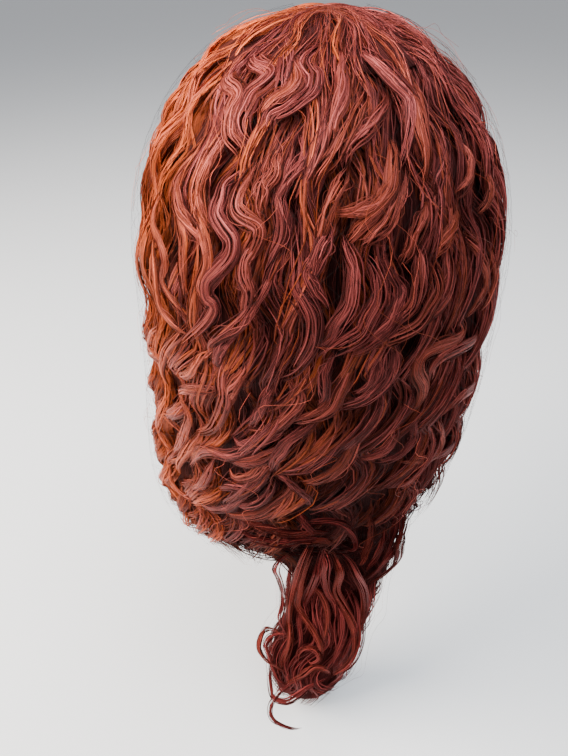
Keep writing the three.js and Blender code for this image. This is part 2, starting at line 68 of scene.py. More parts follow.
# The cap is stretch lace of dark threads. It is one sewn shell that follows the head, and the hair hides it
# from outside.
def cap_lace():
    material = bpy.data.materials.new("cap_lace")
    material.use_nodes = True
    nodes, links = material.node_tree.nodes, material.node_tree.links
    shader = nodes["Principled BSDF"]
    place = nodes.new("ShaderNodeTexCoord")
    turn = nodes.new("ShaderNodeMapping")
    turn.inputs["Rotation"].default_value = (0.6, 0.5, 0.8)
    holes = nodes.new("ShaderNodeTexVoronoi")
    holes.feature = "DISTANCE_TO_EDGE"
    holes.inputs["Scale"].default_value = 420
    holes.inputs["Randomness"].default_value = 0.35
    threads = nodes.new("ShaderNodeMapRange")
    threads.inputs["From Min"].default_value = 0.05
    threads.inputs["From Max"].default_value = 0.22
    threads.inputs["To Min"].default_value = 1
    threads.inputs["To Max"].default_value = 0
    colour = nodes.new("ShaderNodeMix")
    colour.data_type = "RGBA"
    colour.inputs["A"].default_value = (0.035, 0.016, 0.013, 1)
    colour.inputs["B"].default_value = (0.11, 0.05, 0.04, 1)
    bump = nodes.new("ShaderNodeBump")
    bump.inputs["Strength"].default_value = 0.6
    bump.inputs["Distance"].default_value = 0.0006
    links.new(place.outputs["Object"], turn.inputs["Vector"])
    links.new(turn.outputs["Vector"], holes.inputs["Vector"])
    links.new(holes.outputs["Distance"], threads.inputs["Value"])
    links.new(threads.outputs["Result"], colour.inputs["Factor"])
    links.new(colour.outputs["Result"], shader.inputs["Base Color"])
    links.new(threads.outputs["Result"], bump.inputs["Height"])
    links.new(bump.outputs["Normal"], shader.inputs["Normal"])
    shader.inputs["Roughness"].default_value = 0.82
    shader.inputs["Sheen Weight"].default_value = 0.25
    return material


cap = bpy.data.objects["wig_cap"]
cap.material_slots[0].material = cap_lace()


# The hair is long wavy fibre, auburn over the back with some copper strands, and on the left side more copper
# is painted in as the glow of the light that comes through the hair. It is sewn to the cap in bands, so it
# falls in locks that lie over each other, and every lock carries the same long wave.
head_half_width, head_half_length, crown_height, cap_wall = 76, 96, 95, 2
hair_left, hair_right, hair_back, hair_front, hair_top = 21, 16, 18, 8, 21
left_width = head_half_width + cap_wall + hair_left
right_width = head_half_width + cap_wall + hair_right
dome_width = (left_width + right_width) / 2
dome_back = head_half_length + cap_wall + hair_back
dome_front = head_half_length + cap_wall + hair_front
dome_height = crown_height + cap_wall + hair_top
dome_squareness = 2.14
body_length, face_edge, part_start, part_length = 197, 135, 90, 92
whole_path = math.pi / 4 * (dome_back + dome_height) + body_length
dome_share = 1 - body_length / whole_path

body_drop = (0.0, 0.28, 0.53, 0.71, 0.85, 0.95, 1.0)
body_width = (1.0, 1.03, 1.05, 1.02, 0.91, 0.72, 0.57)
body_back = (1.0, 0.965, 0.9, 0.78, 0.63, 0.46, 0.35)
body_front = (1.0, 0.93, 0.8, 0.63, 0.48, 0.36, 0.28)
body_shift_x = (0.0, 0.01, 0.05, 0.09, 0.1, 0.06, 0.0)
body_shift_y = (0.0, 0.0, 0.0, 0.05, 0.12, 0.2, 0.26)
reach_azimuth = (-180, -100, -50, -10, 30, 100, 180)
reach_share = (0.9, 0.84, 0.83, 0.86, 0.92, 0.95, 0.9)
growth_path = (0.0, 0.15, 0.4, 0.7, 0.84, 1.0)
growth_share = (0.1, 0.3, 0.5, 0.72, 0.7, 0.5)
sway_share = (0.1, 0.3, 0.55, 0.85, 0.86, 0.8)
# The painted light and shade down the hair, by path.
painted_light_path = (0.0, 0.045, 0.12, 0.28, 0.5, 0.68, 1.0)
painted_light_level = (0.3, 1.45, 1.4, 0.82, 0.62, 0.58, 0.3)
wave_length, wave_slant, wave_start = 45, 30, 20
sway_most, swell_most = 7.5, 4.6
locks_around = 54
lock_pitch = 2 * face_edge / locks_around
widest_lock, deepest_lock, under_layer, tip_share = 7.5, 3.6, 3.2, 0.11


def between(places, values, at):
    # A smooth curve through the values of a table.
    places, values = np.array(places, float), np.array(values, float)
    i = np.clip(np.searchsorted(places, at, side="right") - 1, 0, len(places) - 2)
    x0, x1, y0, y1 = places[i], places[i + 1], values[i], values[i + 1]
    t = np.clip((at - x0) / (x1 - x0), 0, 1)
    before, after = np.maximum(i - 1, 0), np.minimum(i + 2, len(places) - 1)
    slope0 = (y1 - values[before]) / (x1 - places[before]) * (x1 - x0)
    slope1 = (values[after] - y0) / (places[after] - x0) * (x1 - x0)
    low = y0 * (1 + 2 * t) * (1 - t) ** 2 + slope0 * t * (1 - t) ** 2
    return low + y1 * t * t * (3 - 2 * t) - slope1 * t * t * (1 - t)


def ramp(value, start, length):
    # 0 up to the start, then evenly to 1 over the length. A length below 0 runs the other way.
    return np.clip((value - start) / length, 0, 1)


def envelope(azimuth, path):
    # A place on the outer form of the hair. Azimuth goes round it in degrees, 0 at the back and more to the
    # left, and path goes down it, 0 at the crown and 1 at the lowest edge.
    u = np.radians(azimuth)
    behind = np.cos(u) >= 0
    side = np.where(u >= 0, left_width, right_width)
    depth = np.where(behind, dome_back, dome_front)
    reach = np.sin(np.minimum(path / dome_share, 1) * math.pi / 2)
    root = -part_length * ramp(np.abs(azimuth), part_start, face_edge - part_start)
    x = side * np.sin(u) * reach
    y = root + (depth * np.cos(u) - root) * reach
    radius = np.minimum(1, np.hypot(x / side, y / np.where(y >= 0, dome_back, dome_front)))
    z = dome_height * (1 - radius ** dome_squareness) ** (1 / dome_squareness) - crown_height
    drop = np.clip((path - dome_share) / (1 - dome_share), 0, 1.3)
    deep = np.where(behind, between(body_drop, body_back, drop), between(body_drop, body_front, drop))
    low_x = side * between(body_drop, body_width, drop) * np.sin(u)
    low_x = low_x + dome_width * between(body_drop, body_shift_x, drop)
    low_y = depth * deep * np.cos(u) + dome_back * between(body_drop, body_shift_y, drop)
    low_z = -crown_height - body_length * drop
    below = path > dome_share
    return np.stack([np.where(below, low_x, x), np.where(below, low_y, y), np.where(below, low_z, z)], -1)


def unit(vectors):
    return vectors / np.maximum(np.linalg.norm(vectors, axis=-1, keepdims=True), 1e-9)


def directions(azimuth, path):
    # The ways across and out of the form at a place, and the length of a degree there.
    away = np.maximum(path, 0.03)
    across = envelope(azimuth + 1, away) - envelope(azimuth - 1, away)
    spacing = np.linalg.norm(across, axis=-1) / 2
    across = unit(across)
    down = unit(envelope(azimuth, away + 0.01) - envelope(azimuth, away - 0.01))
    return across, unit(np.cross(across, down)), spacing


def tubes(centres, outward, half_width, half_thick, sides, tone, copper_and_glow, light):
    # Many closed wisps at once. One of three sides is a low tent: two faces that meet in a soft ridge, and a
    # flat back. Its tone also gives each wisp its own place in the pattern of streaks.
    count, rows = centres.shape[:2]
    along = unit(np.gradient(centres, axis=1))
    side = unit(np.cross(outward, along))
    normal = np.cross(along, side)
    ring = np.arange(sides)
    turn = np.pi * ring / 2 if sides == 3 else 2 * np.pi * ring / sides
    wide = (half_width[..., None] * np.cos(turn))[..., None]
    thick = (half_thick[..., None] * np.sin(turn))[..., None]
    points = centres[:, :, None] + side[:, :, None] * wide + normal[:, :, None] * thick
    step = np.linalg.norm(np.diff(centres, axis=1), axis=-1)
    travel = np.concatenate([np.zeros((count, 1)), np.cumsum(step, axis=1)], axis=1)
    widest = half_width.max(axis=1)[:, None, None]
    tone = tone[:, None, None]
    strip = np.broadcast_to(widest * np.cos(turn), (count, rows, sides)) + 37 * tone
    length = np.broadcast_to(travel[..., None], (count, rows, sides)) + 211 * tone
    begin = np.arange(count) * rows * sides
    near = begin[:, None, None] + (np.arange(rows - 1) * sides)[None, :, None]
    k, after = ring[None, None], (ring[None, None] + 1) % sides
    quads = np.stack([near + k, near + after, near + sides + after, near + sides + k], -1)
    first, last = begin[:, None] + ring[::-1], begin[:, None] + (rows - 1) * sides + ring
    parts = [np.broadcast_to(v, strip.shape) for v in (tone, copper_and_glow[..., None], light[..., None], 1.0)]
    return {"points": points.reshape(-1, 3), "quads": quads.reshape(-1, 4), "tent": sides == 3,
            "caps": np.concatenate([first, last]), "uv": np.stack([strip, length], -1).reshape(-1, 2),
            "tint": np.stack(parts, -1).reshape(-1, 4)}


def join_tubes(name, batches, material):
    # One mesh of all the batches, in metres. The rims of the tents stay sharp and their ridges are smooth.
    points, uv, tint, corners, starts, tents = [], [], [], [], [], []
    base, loops = 0, 0
    for batch in batches:
        points.append(batch["points"])
        uv.append(batch["uv"])
        tint.append(batch["tint"])
        for faces in (batch["quads"], batch["caps"]):
            corners.append((faces + base).ravel())
            starts.append(loops + np.arange(len(faces)) * faces.shape[1])
            loops += faces.size
        if batch["tent"]:
            tents.append((base, base + len(batch["points"])))
        base += len(batch["points"])
    points, uv, tint = np.concatenate(points), np.concatenate(uv), np.concatenate(tint)
    corners, starts = np.concatenate(corners), np.concatenate(starts)
    mesh = bpy.data.meshes.new(name)
    mesh.vertices.add(len(points))
    mesh.vertices.foreach_set("co", (points * 0.001).ravel())
    mesh.loops.add(len(corners))
    mesh.loops.foreach_set("vertex_index", corners.astype(np.int32))
    mesh.polygons.add(len(starts))
    mesh.polygons.foreach_set("loop_start", starts.astype(np.int32))
    mesh.update(calc_edges=True)
    mesh.polygons.foreach_set("use_smooth", np.ones(len(starts), dtype=bool))
    ends = np.empty(len(mesh.edges) * 2, dtype=np.int32)
    mesh.edges.foreach_get("vertices", ends)
    ends = np.sort(ends.reshape(-1, 2), axis=1)
    sharp = np.zeros(len(ends), dtype=bool)
    for low, high in tents:
        rim = (ends[:, 1] - ends[:, 0] == 3) & ((ends[:, 0] - low) % 3 != 1)
        sharp |= rim & (ends[:, 0] >= low) & (ends[:, 0] < high)
    mesh.attributes.new("sharp_edge", "BOOLEAN", "EDGE").data.foreach_set("value", sharp)
    mesh.uv_layers.new(name="strands").data.foreach_set("uv", uv[corners].ravel() * 0.001)
    mesh.color_attributes.new("tint", "FLOAT_COLOR", "POINT").data.foreach_set("color", tint.ravel())
    mesh.materials.append(material)
    piece = bpy.data.objects.new(name, mesh)
    bpy.context.collection.objects.link(piece)
    return piece


def hair_fibre(name, shade, middle, light, copper_and_glow_colour, shine):
    # Streaks run along each wisp. The tint holds its tone, its share of copper and painted glow, and how much
    # light reaches it, which is painted into the colour's brightness as light and shade and also sets its
    # roughness.
    material = bpy.data.materials.new(name)
    material.use_nodes = True
    nodes, links = material.node_tree.nodes, material.node_tree.links
    shader = nodes["Principled BSDF"]
    strands = nodes.new("ShaderNodeUVMap")
    strands.uv_map = "strands"
    stretch = nodes.new("ShaderNodeMapping")
    stretch.inputs["Scale"].default_value = (2100, 9, 1)
    streaks = nodes.new("ShaderNodeTexNoise")
    streaks.noise_dimensions = "2D"
    streaks.inputs["Scale"].default_value = 1
    streaks.inputs["Detail"].default_value = 4
    streaks.inputs["Roughness"].default_value = 0.68
    ramp = nodes.new("ShaderNodeValToRGB")
    ramp.color_ramp.elements[0].position = 0.4
    ramp.color_ramp.elements[0].color = (*shade, 1)
    ramp.color_ramp.elements[1].position = 0.62
    ramp.color_ramp.elements[1].color = (*light, 1)
    mid = ramp.color_ramp.elements.new(0.5)
    mid.color = (*middle, 1)
    tint = nodes.new("ShaderNodeAttribute")
    tint.attribute_name = "tint"
    parts = nodes.new("ShaderNodeSeparateColor")
    warm = nodes.new("ShaderNodeMix")
    warm.data_type = "RGBA"
    warm.inputs["B"].default_value = (*copper_and_glow_colour, 1)
    share = nodes.new("ShaderNodeMath")
    share.operation = "MULTIPLY"
    lift = nodes.new("ShaderNodeHueSaturation")
    brightness = nodes.new("ShaderNodeMapRange")
    brightness.inputs["To Min"].default_value = 0.58
    brightness.inputs["To Max"].default_value = 1.32
    shaded = nodes.new("ShaderNodeMath")
    shaded.operation = "MULTIPLY"
    gloss = nodes.new("ShaderNodeMapRange")
    gloss.inputs["To Min"].default_value = 0.95
    gloss.inputs["To Max"].default_value = 0.36
    bump = nodes.new("ShaderNodeBump")
    bump.inputs["Strength"].default_value = 0.8
    bump.inputs["Distance"].default_value = 0.0006
    flow = nodes.new("ShaderNodeTangent")
    flow.direction_type = "UV_MAP"
    flow.uv_map = "strands"
    links.new(strands.outputs["UV"], stretch.inputs["Vector"])
    links.new(stretch.outputs["Vector"], streaks.inputs["Vector"])
    links.new(streaks.outputs["Fac"], ramp.inputs["Fac"])
    links.new(tint.outputs["Color"], parts.inputs["Color"])
    links.new(parts.outputs["Green"], share.inputs[0])
    links.new(streaks.outputs["Fac"], share.inputs[1])
    links.new(share.outputs["Value"], warm.inputs["Factor"])
    links.new(ramp.outputs["Color"], warm.inputs["A"])
    links.new(parts.outputs["Red"], brightness.inputs["Value"])
    links.new(brightness.outputs["Result"], shaded.inputs[0])
    links.new(parts.outputs["Blue"], shaded.inputs[1])
    links.new(parts.outputs["Blue"], gloss.inputs["Value"])
    links.new(gloss.outputs["Result"], shader.inputs["Roughness"])
    links.new(shaded.outputs["Value"], lift.inputs["Value"])
    links.new(warm.outputs["Result"], lift.inputs["Color"])
    links.new(lift.outputs["Color"], shader.inputs["Base Color"])
    links.new(streaks.outputs["Fac"], bump.inputs["Height"])
    links.new(bump.outputs["Normal"], shader.inputs["Normal"])
    links.new(flow.outputs["Tangent"], shader.inputs["Tangent"])
    shader.inputs["Metallic"].default_value = 0.35
    shader.inputs["Anisotropic"].default_value = 0.6
    shader.inputs["Specular Tint"].default_value = (1.0, 0.5, 0.48, 1)
    shader.inputs["IOR"].default_value = 1.5
    shader.inputs["Specular IOR Level"].default_value = shine
    return material


auburn = hair_fibre("hair_auburn", (0.038, 0.0045, 0.004), (0.132, 0.018, 0.015), (0.42, 0.086, 0.076),
                    (0.80, 0.135, 0.014), 0.24)


def wave(azimuth, path, wander):
    behind = path * whole_path - wave_start - wave_slant * np.radians(azimuth)
    return 2 * np.pi * behind / wave_length + wander


def painted_light_at(azimuth, path):
    # Painted light and shade: the colour is made lightest over the crown and on the left, where the lamps'
    # light falls, and darkest low in the middle, which lies in shade.
    low = between(painted_light_path, painted_light_level, path)
    aside = np.maximum(0.8 * ramp(azimuth, 12, 30), 0.5 * ramp(azimuth, -22, -25))
    most = 1.12 + 0.45 * ramp(path, 0.38, -0.15) * (azimuth > 0)
    return low + np.maximum(most - low, 0) * aside * ramp(path, 0, 0.1)


def copper_and_glow_share(azimuth, path):
    # Painted glow: copper is mixed in from the left side, further round near the crown, as the warm light
    # that comes through the hair there. A little copper also returns at the right front.
    begin = 25 + 28 * ramp(path, 0.36, -0.2)
    left = ramp(azimuth, begin, 50) * (1 - 0.5 * ramp(azimuth, 80, 45))
    return left + 0.35 * ramp(azimuth, -85, -45)


def bed(azimuths, paths, depth, ripple):
    # The inner layer of the hair, a soft sheet that hides the cap and closes the gaps behind the locks. Its
    # colour is painted dark, as shade behind the locks.
    sheet, unrest, degree_width = 1.5, 1.2, 1.8
    azimuth, path = np.meshgrid(azimuths, paths, indexing="ij")
    out = directions(azimuth, path)[1]
    strength = between(growth_path, growth_share, path)
    inward = depth + ripple * (1 + np.cos(wave(azimuth, path, 0))) * strength + unrest * np.sin(azimuth * 1.9)
    face = envelope(azimuth, path) - out * inward[..., None]
    points = np.concatenate([face.reshape(-1, 3), (face - out * sheet).reshape(-1, 3)])
    at, back = np.arange(azimuth.size).reshape(azimuth.shape), azimuth.size
    a, b, c, d = at[:-1, :-1].ravel(), at[1:, :-1].ravel(), at[1:, 1:].ravel(), at[:-1, 1:].ravel()
    walls = [np.stack([a, d, c, b], -1), np.stack([a, b, c, d], -1) + back]
    for rim, turned in ((at[0], False), (at[-1], True), (at[:, 0], True), (at[:, -1], False)):
        near, far = rim[:-1], rim[1:]
        edge = [near, near + back, far + back, far]
        walls.append(np.stack(edge[::-1] if turned else edge, -1))
    uv = np.stack([azimuth * degree_width, path * whole_path], -1).reshape(-1, 2)
    # Painted shade: the sheet takes a fifth of the painted light of its place.
    parts = (0.4, 0.5 * copper_and_glow_share(azimuth, path), 0.2 * painted_light_at(azimuth, path), 1.0)
    tint = np.stack([np.broadcast_to(v, path.shape) for v in parts], -1).reshape(-1, 4)
    return {"points": points, "quads": np.concatenate(walls), "tent": False, "caps": np.zeros((0, 3), int),
            "uv": np.concatenate([uv, uv]), "tint": np.concatenate([tint, tint])}


def lock_lines(number, start, reach, rows, depth, angle, stand, scatter, loose, sink):
    # Each wisp runs in the lock of its number, at an angle and a stand from the lock's middle. Scatter is its
    # own chance, loose is how far it strays, and sink is how deep its end goes under the others.
    t = np.linspace(0, 1, rows)[None]
    start, reach, depth, angle, stand, scatter = (
        v[:, None] for v in (start, reach, depth, angle, stand, scatter))
    lock = np.floor(number)[:, None]
    path = start + (reach - start) * t
    tip = np.clip((path - reach + tip_share) / tip_share, 0, 1) ** 2 * (sink == 0)
    root = np.clip(1 - (path - start) * whole_path / 25, 0, 1) ** 2

    # The locks drift over each other, and the lower ones sweep to one side behind.
    settled = ramp(path, 0, 0.3)
    drift = 0.6 * np.sin(1.3 * lock + 6 * path) + 0.45 * np.sin(3.1 * lock + 10 * path + 2)
    azimuth = -face_edge + lock_pitch * (lock + 0.5 + settled * drift + loose * (scatter - 0.5))
    lean = ramp(path, 0.42, 0.4)
    azimuth = azimuth + 9 * lean * lean * (3 - 2 * lean) * np.exp(-((azimuth + 8) / 58) ** 2)
    across, out, spacing = directions(azimuth, path)

    # The wave shifts a little from lock to lock, and is calmer high up in the middle.
    wander = 0.7 * np.sin(0.9 * lock + 7 * path + 1) + 0.6 * np.sin(2.3 * lock - 9 * path)
    wander = wander + 0.75 * np.sin(5.1 * lock)
    phase = wave(azimuth, path, wander + 0.5 * (np.sin(scatter * 90) * loose))
    phase = phase + 0.35 * np.sin(phase)
    calm = 1 - 0.4 * np.exp(-((azimuth + 12) / 30) ** 2) * ramp(path, 0.55, -0.2)
    calm = calm * (1 + 0.25 * np.sin(1.7 * lock + 5 * path + 0.5) + 0.15 * (np.sin(scatter * 50)))
    strength = between(growth_path, growth_share, path) * calm
    swing = sway_most * between(growth_path, sway_share, path) * calm
    swell = swell_most * strength * (1 + np.cos(phase))

    # The section of a lock turns slowly and draws together with the wave, and its end frays.
    half = np.minimum((0.58 + 0.16 * np.sin(3.7 * lock)) * spacing * lock_pitch, widest_lock)
    deep = np.minimum(half * 0.6, deepest_lock)
    turned = angle + 0.7 * np.sin(phase * 0.5 + scatter * 6)
    gather = 0.85 + 0.25 * np.sin(phase + 0.8)
    fray = 1.6 * np.sin(31 * path + 60 * scatter) + 0.7 * np.sin(74 * path + 90 * scatter)
    sideways = -swing * np.sin(phase) + stand * half * gather * np.sin(turned)
    sideways = sideways + tip * (4 * np.sin(lock * 2.4) + 3 * np.sin(scatter * 40))
    sideways = sideways + loose * fray
    lift = 1.3 * np.sin(2.1 * lock + 8 * path) + 0.9 * np.sin(4.7 * lock - 6 * path)
    inward = swell + depth + settled * (lift + 1.6)
    inward = inward + deep * (1 - stand * np.cos(turned)) + (4 if sink == 0 else 1) * root
    inward = inward + tip * 5 * np.sin(scatter * 23 + lock) + sink * t ** 3
    place = envelope(azimuth, path) + across * sideways[..., None] - out * np.maximum(inward, -1.5)[..., None]
    outward = unit(out * np.cos(turned)[..., None] + across * np.sin(turned)[..., None])
    taper = np.minimum(1, 0.25 + t * 8) * np.clip((1 - t) * 7 + 0.08, 0, 1) ** 0.7

    # Painted shade: the colour is darker for what lies deep between the locks, and at their ends, where less
    # light reaches, and it takes the painted light and shade of its place.
    sunk = np.maximum(inward - swell * 0.6, 0)
    light = (0.3 + 0.72 * np.clip(1.05 - sunk / 9, 0, 1) ** 1.2) * painted_light_at(azimuth, path) * (1 - 0.45 * tip)
    return place, outward, taper * np.minimum(1, half / 5), azimuth, copper_and_glow_share(azimuth, path), light


def grow(rng, first, locks, each, rows, width, thick, deeper, loose, starts, ends=None, sink=0):
    # The wisps of some neighbouring locks. Every second lock lies under the two beside it.
    number = first + np.repeat(np.arange(locks), each)
    total = len(number)
    start = starts[0] + (starts[1] - starts[0]) * rng.random(total) ** 1.4
    azimuth = -face_edge + lock_pitch * (number + 0.5)
    if ends:
        reach = ends[0] + (ends[1] - ends[0]) * rng.random(total)
    else:
        reach = between(reach_azimuth, reach_share, azimuth) + 0.03 + 0.06 * (rng.random(total) - 0.5)
    depth = np.where(number % 2 == 0, 0.0, under_layer) + deeper
    depth = depth + 0.5 * np.exp(-((azimuth - 10) / 62) ** 6) * (sink == 0)
    angle, stand = 2.9 * (rng.random(total) - 0.5), 0.82 + 0.28 * rng.random(total)
    centres, outward, taper, azimuths, copper_and_glow, light = lock_lines(
        number, start, reach, rows, depth, angle, stand, rng.random(total), loose, sink)
    wide = width * (0.6 + 0.8 * rng.random(total))[:, None] * taper
    warm = (rng.random(total) ** 1.6 + 0.3 * np.sin(7.3 * np.floor(number)))[:, None]
    copper_and_glow = np.clip(copper_and_glow + warm * np.clip((azimuths + 60) / 70, 0.25, 0.9) - 0.12, 0, 1)
    return tubes(centres, outward, wide, wide * thick, 3, rng.random(total), copper_and_glow, light)


def panel(name, node, first, wisps, hairs):
    # Six locks on their bed: flat under-locks, then fine wisps, then single hairs.
    rng = np.random.default_rng(first + 3)
    edges = -face_edge + lock_pitch * first, -face_edge + lock_pitch * (first + 6)
    low = between(reach_azimuth, reach_share, np.mean(edges)) - 0.02
    batches = [bed(np.linspace(*edges, 19), np.linspace(0.16, low, 44), 8, 2.2),
               grow(rng, first, 6, 4, 42, 2.2, 0.3, 3.4, 0.9, (0.05, 0.3)),
               grow(rng, first, 6, wisps, 48, 0.5, 0.6, 0, 0.45, (0.07, 0.4)),
               grow(rng, first, 6, hairs, 42, 0.2, 1, -0.4, 1.1, (0.05, 0.45))]
    piece = join_tubes(name, batches, auburn)
    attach(piece, "root")
    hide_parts(node)


panel("right_front_locks", "right_front_hair", 0, 16, 4)
panel("right_temple_locks", "right_temple_hair", 6, 18, 5)
panel("right_side_locks", "right_side_hair", 12, 22, 6)
panel("right_back_locks", "right_back_hair", 18, 22, 6)
panel("centre_back_locks", "centre_back_hair", 24, 21, 6)
panel("left_back_locks", "left_back_hair", 30, 21, 6)
panel("left_side_locks", "left_side_hair", 36, 21, 6)
panel("left_temple_locks", "left_temple_hair", 42, 18, 5)
panel("left_front_locks", "left_front_hair", 48, 16, 4)


# The locks over the crown radiate from one spot and from the parting that runs forward from it. They are
# sewn last, so they lie over the starts of all the others and run out in thin ends.
rng = np.random.default_rng(5)
crown = [bed(np.linspace(-face_edge, face_edge, 64), np.linspace(0.0005, 0.165, 8), 3.6, 0),
         grow(rng, 0, locks_around, 2, 14, 2.2, 0.3, 1.6, 0.8, (0.0005, 0.01), (0.2, 0.3), sink=5),
         grow(rng, 0, locks_around, 13, 17, 0.52, 0.6, -0.4, 0.8, (0.0005, 0.05), (0.16, 0.42), sink=5),
         grow(rng, 0, locks_around, 2, 20, 0.2, 1, -0.6, 1.4, (0.0005, 0.1), (0.2, 0.5), sink=4)]


def through(row, scale=1):
    # A smooth line through the places of one row of a table, with three more between each two.
    places = np.array(row[1:], float) / scale
    at = np.linspace(0, len(places) - 1, 4 * (len(places) - 1) + 1)
    return np.stack([between(range(len(places)), places[:, k], at) for k in range(places.shape[1])], -1)


def lay(rng, middle, out, half, height, copper_and_glow, loose, shade):
    # One lock along a line: flat wisps that fill a low oval section, and a few hairs that stray from it.
    grid = np.linspace(0, 1, len(middle))
    t = grid[None]
    side = unit(np.cross(out, unit(np.gradient(middle, axis=0))))
    turn_most, roll = 0.35 + 0.3 * rng.random(), 6 * rng.random()
    batches = []
    for each, width, thick, fray in ((round(5.4 * half) + 2, 0.42, 0.6, 0.42), (3, 0.14, 1, 1.6)):
        angle, stand = 2.8 * (rng.random((each, 1)) - 0.5), 0.72 + 0.3 * rng.random((each, 1))
        scatter, tone = rng.random((each, 1)), rng.random(each)
        begin, end = 0.3 * rng.random((each, 1)) ** 1.3, 1 - 0.35 * rng.random((each, 1)) ** 2
        at = begin + (end - begin) * t
        place, outward, across = (
            np.stack([np.interp(at, grid, line[:, k]) for k in range(3)], -1) for line in (middle, out, side))
        turned = angle + turn_most * np.sin(4 * at + roll)
        wide = 1.3 * half * (0.3 + 0.7 * np.sin(math.pi * (0.07 + 0.86 * at)))
        curl = np.sin(11 * at + 60 * scatter) + 0.5 * np.sin(23 * at + 90 * scatter)
        sideways = stand * wide * np.sin(turned) + fray * loose * curl
        rise = height + 0.3 * wide * (stand * np.cos(turned) - 0.8) - 5 * (1 - at) ** 3 - 4 * at ** 5
        centres = place + across * sideways[..., None] + outward * rise[..., None]
        facing = unit(outward * np.cos(turned)[..., None] + across * np.sin(turned)[..., None])
        taper = np.minimum(1, 0.1 + 5 * t) * np.clip((1 - t) * 6 + 0.06, 0, 1) ** 0.7
        girth = width * (0.6 + 0.8 * rng.random((each, 1))) * taper
        warm = copper_and_glow + 0.5 * (rng.random((each, 1)) ** 2) * (0.3 + copper_and_glow) + 0.18 * np.sin(9 * roll)
        # Painted shade: wisps turned away from the lock's outside are darker, and the whole lock is scaled by
        # the painted light and shade it is given.
        light = (0.4 + 0.54 * np.clip(1.15 * np.cos(turned) - 0.1, 0, 1)) * shade
        batches.append(tubes(centres, facing, girth, girth * thick, 3, tone, np.clip(warm, 0, 1), light))
    return batches


# A few short locks lie across the whorl, where the others begin, and close it. Each row gives half the width
# of one, then the places that it passes, in millimetres.
whorl_locks = (
    (4.0, (-20, 9, 20), (-10, 8, 22), (0, 6, 23), (10, 3, 22), (20, -2, 20)),
    (3.6, (22, 4, 19), (12, 1, 22), (2, 0, 23), (-8, -3, 22), (-20, -9, 19)),
    (3.6, (-21, 0, 20), (-12, -4, 22), (-2, -6, 23), (9, -10, 22), (20, -16, 19)),
    (3.4, (20, -6, 20), (10, -10, 22), (0, -13, 23), (-10, -18, 22), (-20, -24, 19)),
    (3.0, (-18, -12, 20), (-8, -17, 22), (2, -20, 22), (12, -25, 20)),
)
crown_heart = np.array([0, -5, -60])
for row in whorl_locks:
    middle = through(row)
    copper_and_glow = np.full((1, len(middle)), 0.25)
    crown += lay(rng, middle, unit(middle - crown_heart), row[0], -0.9, copper_and_glow, 1, 1.1)
crown_locks = join_tubes("crown_locks", crown, auburn)
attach(crown_locks, "root")
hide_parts("crown_hair")


